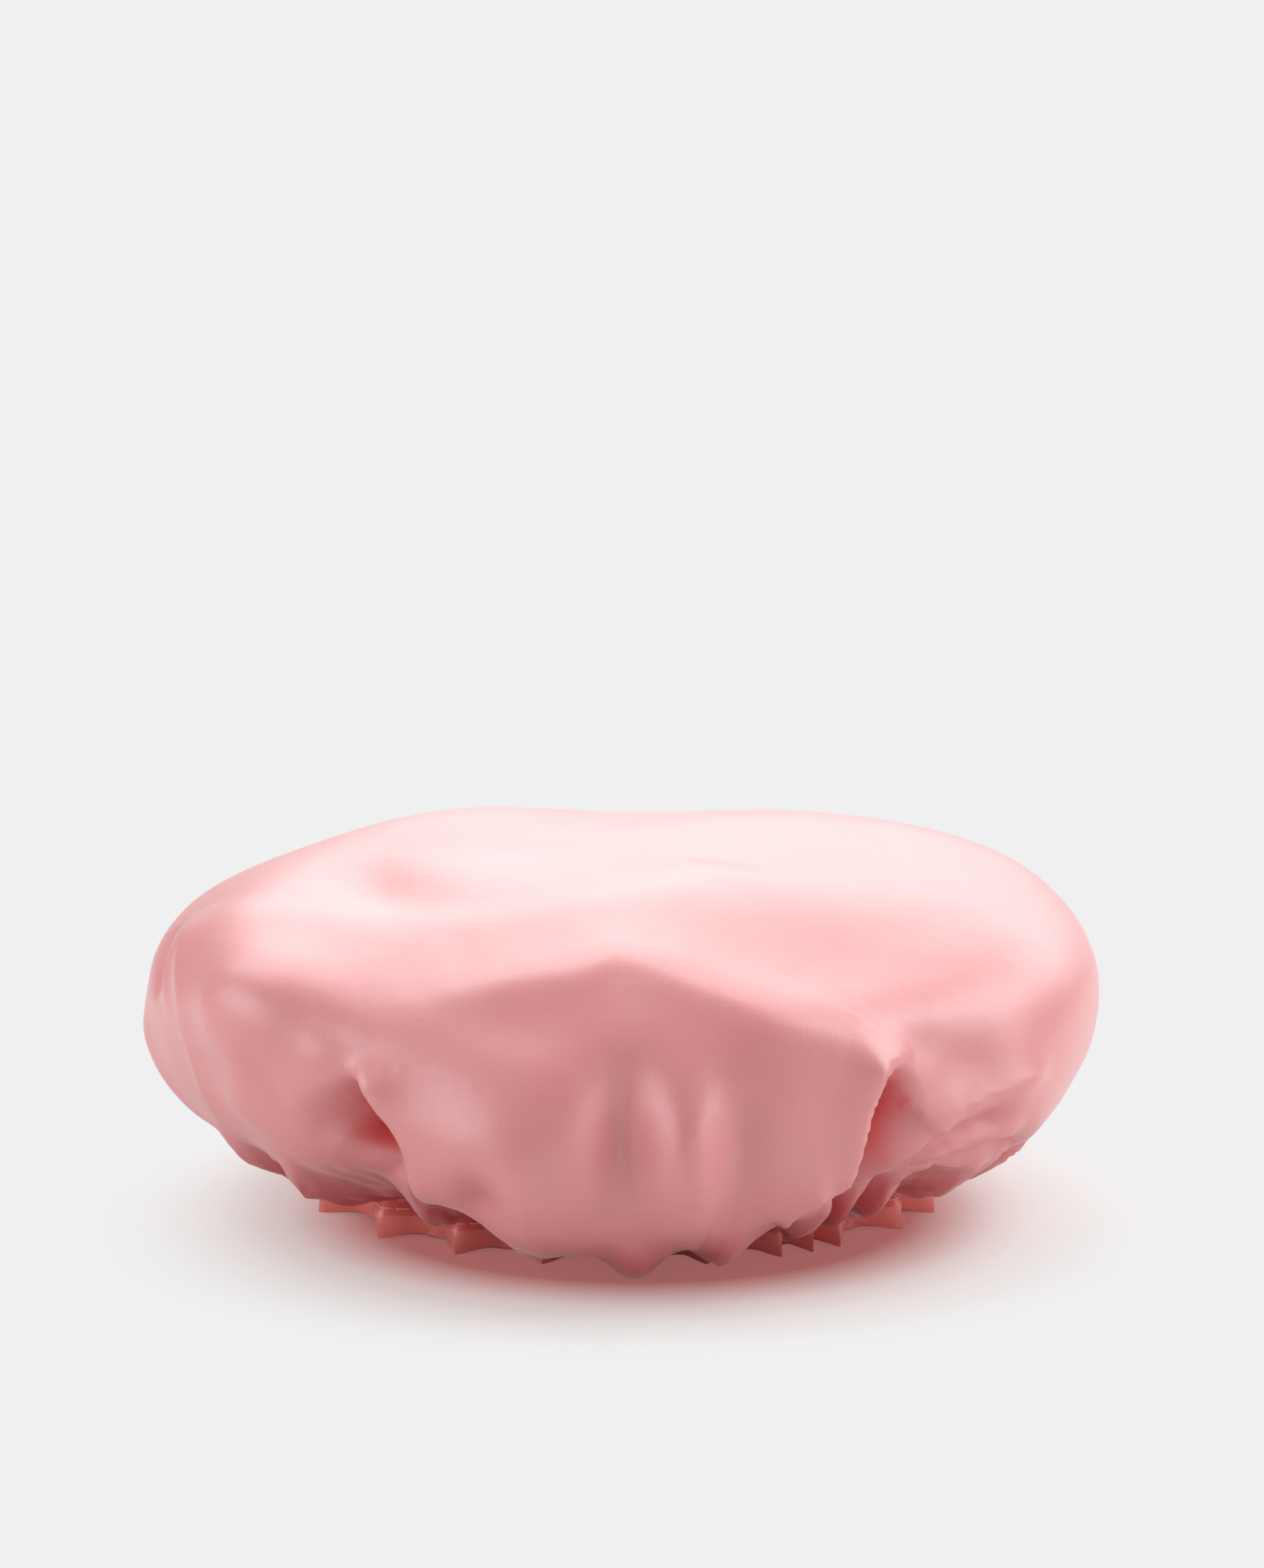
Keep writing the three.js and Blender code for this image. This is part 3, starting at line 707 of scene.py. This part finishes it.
def tube(path, radius, sides=6):
    """Vertices and faces of a small closed tube along a path."""
    path = np.asarray(path, float)
    along = np.gradient(path, axis=0)
    along /= np.linalg.norm(along, axis=1, keepdims=True)
    side = np.cross(along, (0, 0, 1.0))
    side /= np.linalg.norm(side, axis=1, keepdims=True)
    up = np.cross(side, along)
    turn = 2 * np.pi * np.arange(sides) / sides
    ring = side[:, None] * np.cos(turn)[None, :, None] + up[:, None] * np.sin(turn)[None, :, None]
    body = path[:, None] + ring * np.broadcast_to(radius, len(path))[:, None, None]
    last = (len(path) - 1) * sides
    faces = [(i + j, i + k, i + sides + k, i + sides + j)
             for i in range(0, last, sides) for j, k in zip(range(sides), (*range(1, sides), 0))]
    faces += [tuple(range(sides - 1, -1, -1)), tuple(last + j for j in range(sides))]
    return body.reshape(-1, 3), faces


def thin_cloth(obj, thickness):
    solid = obj.modifiers.new("thickness", "SOLIDIFY")
    solid.thickness = thickness * MM
    solid.offset = -1


# The pieces

def lining_of(shell_object):
    """The waterproof film, just inside the satin."""
    mesh = shell_object.data
    count = len(mesh.vertices)
    co, normal = np.empty(count * 3), np.empty(count * 3)
    mesh.vertices.foreach_get("co", co)
    mesh.vertices.foreach_get("normal", normal)
    inside = co.reshape(-1, 3) - LINING_GAP * MM * normal.reshape(-1, 3)
    return mesh_object("lining_film", inside, [tuple(p.vertices) for p in mesh.polygons])


def casing_section(phi):
    """The casing's face at the angles phi: rows of (radius, height) from the outer lip's edge down to the
    fold and up to the inner lip's edge. A pleat is round above and a folded corner at the floor."""
    point = lip_wave(phi)
    round_pleat = 0.5 + 0.5 * np.cos(2 * np.pi * pleat_phase(phi))
    lip = lip_radius(phi)
    outer_lip, inner_lip = lip + LIP_OUTSIDE, lip - LIP_INSIDE
    outer = CHANNEL_OUTSIDE + CASING_WALL + PLEAT_DEPTH * point
    swell = CHANNEL_OUTSIDE + CASING_WALL + PLEAT_SWELL * round_pleat
    inner = CHANNEL_INSIDE - CASING_WALL - PLEAT_DRAW * (1 - point)
    flare = PLEAT_FLARE * point ** 2
    foot = FOOT_HEIGHT + FOOT_RISE * (1 - point) ** 1.5
    rows = [
        (outer_lip, LIP_TOP),
        (outer_lip * 0.9 + outer * 0.1 + 0.05, LIP_TOP - 0.5),
        (outer_lip * 0.68 + outer * 0.32, LIP_ROLL),
        (outer_lip * 0.4 + swell * 0.6 + 0.1, SEAM_HEIGHT),
        (swell, 7.4),
        (swell * 0.75 + outer * 0.25 + 0.3 * flare, 5.6),
        (swell * 0.4 + outer * 0.6 + 0.6 * flare, 3.9),
        (outer + flare, foot + 0.25),
        (outer + flare - 0.25, foot),
        (0.5 * (outer + flare) + 0.5 * CHANNEL_OUTSIDE, 0.6 * foot + 0.15),
        (CHANNEL_OUTSIDE - 1, 0.55),
        (ELASTIC_RADIUS - 0.5, 0.5),
        (CHANNEL_INSIDE, 0.6),
        (inner + 0.3, 0.75),
        (inner, 1.2),
        (inner, 4.0),
        (inner, 7.3),
        (inner_lip * 0.45 + inner * 0.55, SEAM_HEIGHT),
        (inner_lip * 0.68 + inner * 0.32, LIP_ROLL),
        (inner_lip, LIP_TOP - 0.2),
    ]
    return [(np.broadcast_to(r, point.shape), np.broadcast_to(z, point.shape)) for r, z in rows]


def casing_angles(count):
    """Angles round the casing, with the same number of columns in each pleat, so one lies on each crease."""
    pleats = np.sort(np.asarray(PLEATS) % 360)
    ends = np.concatenate([pleats, pleats[:1] + 360])
    each = count // len(pleats)
    return np.concatenate([a + (b - a) * np.arange(each) / each for a, b in zip(ends, ends[1:])])


def casing():
    """The strip that is folded over the cloth's edge, in pleats and slightly crumpled."""
    phi = casing_angles(CASING_COLUMNS)
    a = np.radians(phi)
    rings = []
    for k, (r, z) in enumerate(casing_section(phi)):
        if k in CRUMPLED_ROWS:
            r = r + CRUMPLE_DEPTH * np.sin(37 * a + 0.9 * k) * np.sin(61 * a - 0.5 * k)
        rings.append(around(phi, r, z))
    obj = mesh_object("casing_cloth", np.concatenate(rings) * MM, ring_faces(len(rings), len(phi)))
    obj.data.set_sharp_from_angle(angle=math.radians(CASING_CREASE))
    thin_cloth(obj, CASING_THICKNESS)
    return obj


def stitch_row(name, row, lift):
    """A row of topstitching on one leaf of the casing: separate stitches that dip into the cloth."""
    phi = casing_angles(CASING_COLUMNS * 2)
    r, z = casing_section(phi)[row]
    path = around(phi, r + lift, z)
    path = np.concatenate([path, path[:1]])
    run = np.concatenate([[0], np.cumsum(np.linalg.norm(np.diff(path, axis=0), axis=1))])
    inward = around(phi, r, z) - around(phi, r + 1, z)
    inward = np.concatenate([inward, inward[:1]]) * np.sign(lift)
    count = int(run[-1] / (STITCH_LENGTH + STITCH_GAP))
    pitch = run[-1] / count
    u = np.linspace(-1, 1, STITCH_POINTS)
    rng = np.random.default_rng(STITCH_SEED)

    def along_row(at, values):
        return np.stack([np.interp(at, run, values[:, i], period=run[-1]) for i in range(3)], 1)

    parts = []
    for k in range(count):
        reach = np.linspace(0, pitch - STITCH_GAP, STITCH_POINTS)
        at = k * pitch + reach + rng.uniform(-STITCH_SHIFT, STITCH_SHIFT)
        points = along_row(at, path)
        points += along_row(at, inward) * (STITCH_DIP * np.abs(u) ** 5)[:, None]
        points[:, 2] += rng.uniform(-STITCH_RISE, STITCH_RISE) + STITCH_TILT * u * rng.uniform(-1, 1)
        parts.append(tube(points, THREAD_RADIUS * (1 - THREAD_TAPER * np.abs(u) ** 6)))
    return joined(name, parts)


def join_stitch():
    """The seam that joins the two ends of the casing: a short row of stitches down the outer leaf."""
    low, high = (np.asarray(p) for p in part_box("casing_join_stitch"))
    x, y, _ = (low + high) / 2 / MM
    phi = math.degrees(math.atan2(x, CROWN_LEAN - y))
    outer_leaf = casing_section(np.full(1, phi))[3:8]
    r = np.array([row[0][0] for row in outer_leaf])
    z = np.array([row[1][0] for row in outer_leaf])
    u = np.linspace(-1, 1, JOIN_POINTS)
    parts = []
    for top, foot in JOIN_STITCHES:
        h = np.linspace(top, foot, JOIN_POINTS)
        radius = np.interp(h, z[::-1], r[::-1]) + JOIN_LIFT - JOIN_DIP * np.abs(u) ** 5
        parts.append(tube(around(phi + JOIN_SLANT * u, radius, h), FINE_THREAD_RADIUS))
    return joined("casing_join_thread", parts)


def elastic():
    """A flat ribbed elastic: cords side by side, each wrapped by the knit. The strip is a little longer than
    the loop and spirals in by its thickness, so its ends lap."""
    turns = np.linspace(0, 2 * np.pi + ELASTIC_LAP, ELASTIC_STEPS + 1)
    middle = ELASTIC_RADIUS + ELASTIC_PITCH * (0.5 - (turns - ELASTIC_LAP / 2) / (2 * np.pi))
    ripple = 1 + KNIT_RIPPLE * np.sin(turns * ELASTIC_STEPS)
    u = np.linspace(0, 1, ELASTIC_RIBS * RIB_POINTS + 1)
    face = ELASTIC_HALF + RIB_HEIGHT * np.abs(np.sin(np.pi * ELASTIC_RIBS * u))
    depth = np.concatenate([face, -face[::-1]])
    height = ELASTIC_FOOT + np.concatenate([u, u[::-1]]) * ELASTIC_WIDTH
    sections = []
    for turn, m, w in zip(turns, middle, ripple):
        sections.append(around(math.degrees(turn) + ELASTIC_JOIN, m + depth * w, height))
    n = len(depth)
    faces = ring_faces(len(sections), n)
    faces += [tuple(range(n)), tuple(ELASTIC_STEPS * n + j for j in range(n - 1, -1, -1))]
    return mesh_object("elastic_knit_band", np.concatenate(sections) * MM, faces, "elastic_loop")


def lap_stitch():
    """The zigzag that sews the elastic's lapped ends."""
    steps = LAP_STITCHES * LAP_STITCH_STEPS
    step = np.arange(steps + 1)
    turn = ELASTIC_LAP * (LAP_STITCH_START + LAP_STITCH_REACH * step / steps)
    swing = step / LAP_STITCH_STEPS
    zigzag = 2 * np.abs(2 * (swing - np.floor(swing + 0.5))) - 1
    height = ELASTIC_FOOT + ELASTIC_WIDTH / 2 + (ELASTIC_WIDTH / 2 - LAP_STITCH_MARGIN) * zigzag
    radius = ELASTIC_RADIUS + LAP_FACE + LAP_STITCH_GAP + FINE_THREAD_RADIUS
    path = around(np.degrees(turn) + ELASTIC_JOIN, radius, height)
    return joined("elastic_zigzag", [tube(path, FINE_THREAD_RADIUS)], "elastic_loop")


# Materials

def material(name):
    mat = bpy.data.materials.new(name)
    mat.use_nodes = True
    nodes, links = mat.node_tree.nodes, mat.node_tree.links
    return mat, nodes, links, nodes["Principled BSDF"]


def noise(nodes, links, coords, scale, detail):
    node = nodes.new("ShaderNodeTexNoise")
    node.inputs["Scale"].default_value = scale
    node.inputs["Detail"].default_value = detail
    links.new(coords.outputs["Object"], node.inputs["Vector"])
    return node.outputs["Fac"]


def mottled(nodes, links, height, color, dark):
    ramp = nodes.new("ShaderNodeValToRGB")
    for step, place, value in zip(ramp.color_ramp.elements, MOTTLE_ENDS, (dark, color)):
        step.position = place
        step.color = (*value, 1)
    links.new(height, ramp.inputs["Fac"])
    return ramp.outputs["Color"]


def bumped(nodes, links, height, strength, bump_mm):
    bump = nodes.new("ShaderNodeBump")
    bump.inputs["Strength"].default_value = strength
    bump.inputs["Distance"].default_value = bump_mm * MM
    links.new(height, bump.inputs["Height"])
    return bump


def satin_material(name, color, dark, crease_shade):
    """Satin: mottled colour, with a darker red shade painted where the cloth faces itself, a fine weave and
    a broad soft shine.
    """
    mat, nodes, links, bsdf = material(name)
    coords = nodes.new("ShaderNodeTexCoord")
    mottle = noise(nodes, links, coords, SATIN_MOTTLE_SCALE, detail=4)
    plain = mottled(nodes, links, mottle, color, dark)
    # Painted shade: ambient occlusion turns the colour towards the deep red in folds and creases
    shade_occlusion = nodes.new("ShaderNodeAmbientOcclusion")
    shade_occlusion.samples = 8
    shade_occlusion.inputs["Distance"].default_value = FOLD_SHADE_REACH
    depth = nodes.new("ShaderNodeMapRange")
    depth.inputs["From Min"].default_value, depth.inputs["From Max"].default_value = FOLD_SHADE_OPENNESS
    links.new(shade_occlusion.outputs["AO"], depth.inputs["Value"])
    fold = nodes.new("ShaderNodeMix")
    fold.data_type = "RGBA"
    fold.inputs["A"].default_value = (*crease_shade, 1)
    links.new(depth.outputs["Result"], fold.inputs["Factor"])
    links.new(plain, fold.inputs["B"])
    links.new(fold.outputs["Result"], bsdf.inputs["Base Color"])
    crumple_height = noise(nodes, links, coords, CRUMPLE_SCALE, detail=4)
    crumple = bumped(nodes, links, crumple_height, strength=0.5, bump_mm=1.2)
    weave_height = noise(nodes, links, coords, WEAVE_SCALE, detail=2)
    weave = bumped(nodes, links, weave_height, strength=0.3, bump_mm=0.3)
    links.new(crumple.outputs["Normal"], weave.inputs["Normal"])
    links.new(weave.outputs["Normal"], bsdf.inputs["Normal"])
    for socket, value in SATIN_SHINE.items():
        bsdf.inputs[socket].default_value = value
    return mat


def plain_cloth(name, color, dark, scale, roughness, bump_mm):
    """A small-scaled textile or film: mottled colour and a fine bump."""
    mat, nodes, links, bsdf = material(name)
    coords = nodes.new("ShaderNodeTexCoord")
    height = noise(nodes, links, coords, scale, detail=3)
    links.new(mottled(nodes, links, height, color, dark), bsdf.inputs["Base Color"])
    bump = bumped(nodes, links, height, strength=0.5, bump_mm=bump_mm)
    links.new(bump.outputs["Normal"], bsdf.inputs["Normal"])
    bsdf.inputs["Roughness"].default_value = roughness
    return mat


SATIN = satin_material("satin", *SATIN_COLORS)
# The casing's satin, with a painted glow and painted shade in its colours
CASING_SATIN = satin_material("casing_satin", *CASING_PAINTED_LIGHT_COLORS)
FILM = plain_cloth("lining_film", *FILM_COLORS, scale=60, roughness=0.38, bump_mm=0.5)
KNIT = plain_cloth("elastic_knit", *KNIT_COLORS, scale=1400, roughness=0.85, bump_mm=0.2)
THREAD = plain_cloth("thread", *THREAD_COLORS, scale=2600, roughness=0.5, bump_mm=0.1)

# The cap

cloth = Cloth(CLOTH_STEP, CLOTH_COLUMNS)
shell = mesh_object("shell_cloth", puffed_form(cloth) * MM, cloth.faces)
lining = lining_of(shell)
thin_cloth(shell, SATIN_THICKNESS)
thin_cloth(lining, FILM_THICKNESS)
band = casing()
needle = stitch_row("topstitch_outer", OUTER_STITCH_ROW, STITCH_LIFT)
bobbin = stitch_row("topstitch_inner", INNER_STITCH_ROW, -STITCH_LIFT)
seam = join_stitch()
knit = elastic()
zigzag = lap_stitch()

for piece, node, slot, mat in (
    (shell, "outer_shell", "satin", SATIN),
    (lining, "waterproof_lining", "lining_film", FILM),
    (band, "edge_casing", "casing_satin", CASING_SATIN),
    (needle, "topstitch_needle_thread", "thread", THREAD),
    (bobbin, "topstitch_bobbin_thread", "thread", THREAD),
    (seam, "casing_join_stitch", "thread", THREAD),
    (knit, "elastic_band", "elastic_knit", KNIT),
    (zigzag, "elastic_lap_stitch", "thread", THREAD),
):
    piece.data.materials.append(mat)
    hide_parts(node)


# The studio

def for_camera(nodes, links, light, picture, output):
    """Shows the camera one shader, and all other rays another."""
    path = nodes.new("ShaderNodeLightPath")
    mix = nodes.new("ShaderNodeMixShader")
    links.new(path.outputs["Is Camera Ray"], mix.inputs["Fac"])
    links.new(light, mix.inputs[1])
    links.new(picture, mix.inputs[2])
    links.new(mix.outputs["Shader"], output.inputs["Surface"])


def floor():
    """A pale floor that takes the cap's shadow, carries a painted pink shadow round the cap and ends in the
    background.
    """
    mesh = bpy.data.meshes.new("floor")
    corners = [(-FLOOR_HALF, -FLOOR_HALF, 0), (FLOOR_HALF, -FLOOR_HALF, 0),
               (FLOOR_HALF, FLOOR_HALF, 0), (-FLOOR_HALF, FLOOR_HALF, 0)]
    mesh.from_pydata(corners, [], [(0, 1, 2, 3)])
    obj = bpy.data.objects.new("floor", mesh)
    bpy.context.scene.collection.objects.link(obj)
    mat, nodes, links, bsdf = material("floor")
    coords = nodes.new("ShaderNodeTexCoord")
    reach = nodes.new("ShaderNodeVectorMath")
    reach.operation = "DISTANCE"
    reach.inputs[1].default_value = SHADE_MIDDLE
    links.new(coords.outputs["Object"], reach.inputs[0])
    painted_shadow = nodes.new("ShaderNodeValToRGB")
    steps = painted_shadow.color_ramp.elements
    for step, (place, color) in zip((steps[0], steps[1]), (FLOOR_PAINTED_SHADOW[0], FLOOR_PAINTED_SHADOW[-1])):
        step.position = place
        step.color = (*color, 1)
    for place, color in FLOOR_PAINTED_SHADOW[1:-1]:
        steps.new(place).color = (*color, 1)
    links.new(reach.outputs["Value"], painted_shadow.inputs["Fac"])
    # Painted shadow: the pink-brown shade colours both the floor's lit colour and its glow
    links.new(painted_shadow.outputs["Color"], bsdf.inputs["Base Color"])
    links.new(painted_shadow.outputs["Color"], bsdf.inputs["Emission Color"])
    bsdf.inputs["Roughness"].default_value = 0.8
    bsdf.inputs["Specular IOR Level"].default_value = 0.0
    bsdf.inputs["Emission Strength"].default_value = FLOOR_GLOW
    plain = nodes.new("ShaderNodeEmission")
    plain.inputs["Color"].default_value = BACKGROUND
    far = nodes.new("ShaderNodeMapRange")
    far.interpolation_type = "SMOOTHSTEP"
    far.inputs["From Min"].default_value, far.inputs["From Max"].default_value = FLOOR_FADE
    links.new(reach.outputs["Value"], far.inputs["Value"])
    mix = nodes.new("ShaderNodeMixShader")
    links.new(far.outputs["Result"], mix.inputs["Fac"])
    links.new(bsdf.outputs["BSDF"], mix.inputs[1])
    links.new(plain.outputs["Emission"], mix.inputs[2])
    bounce = nodes.new("ShaderNodeBsdfDiffuse")
    bounce.inputs["Color"].default_value = FLOOR_BOUNCE
    for_camera(nodes, links, bounce.outputs["BSDF"], mix.outputs["Shader"], nodes["Material Output"])
    mesh.materials.append(mat)


def softbox(name, place, aim_height, width, height, power):
    light = bpy.data.lights.new(name, "AREA")
    light.shape = "RECTANGLE"
    light.size, light.size_y, light.energy = width, height, power
    obj = bpy.data.objects.new(name, light)
    bpy.context.scene.collection.objects.link(obj)
    direction = Vector((0, 0, aim_height)) - Vector(place)
    obj.location = place
    obj.rotation_euler = direction.to_track_quat("-Z", "Y").to_euler()


def surroundings():
    world = bpy.data.worlds.new("studio")
    bpy.context.scene.world = world
    world.use_nodes = True
    nodes, links = world.node_tree.nodes, world.node_tree.links
    light = nodes["Background"]
    light.inputs["Color"].default_value = WORLD_LIGHT
    seen = nodes.new("ShaderNodeBackground")
    seen.inputs["Color"].default_value = BACKGROUND
    for_camera(nodes, links, light.outputs["Background"], seen.outputs["Background"], nodes["World Output"])


def camera():
    lens = bpy.data.cameras.new("camera")
    lens.sensor_fit = "HORIZONTAL"
    lens.sensor_width = SENSOR_WIDTH
    lens.lens = PIXELS_PER_MM * CAMERA_DISTANCE / MM / PHOTO_WIDTH * SENSOR_WIDTH
    lens.shift_x = (PHOTO_WIDTH / 2 - AIM_PIXEL[0]) / PHOTO_WIDTH
    lens.shift_y = (AIM_PIXEL[1] - PHOTO_HEIGHT / 2) / PHOTO_WIDTH
    eye = bpy.data.objects.new("camera", lens)
    bpy.context.scene.collection.objects.link(eye)
    eye.location = CAMERA_PLACE
    eye.rotation_euler = (math.pi / 2 - CAMERA_ELEVATION, 0, 0)
    bpy.context.scene.camera = eye


floor()
for lamp in LAMPS:
    softbox(*lamp)
surroundings()
camera()
bpy.context.scene.view_settings.view_transform = "Standard"
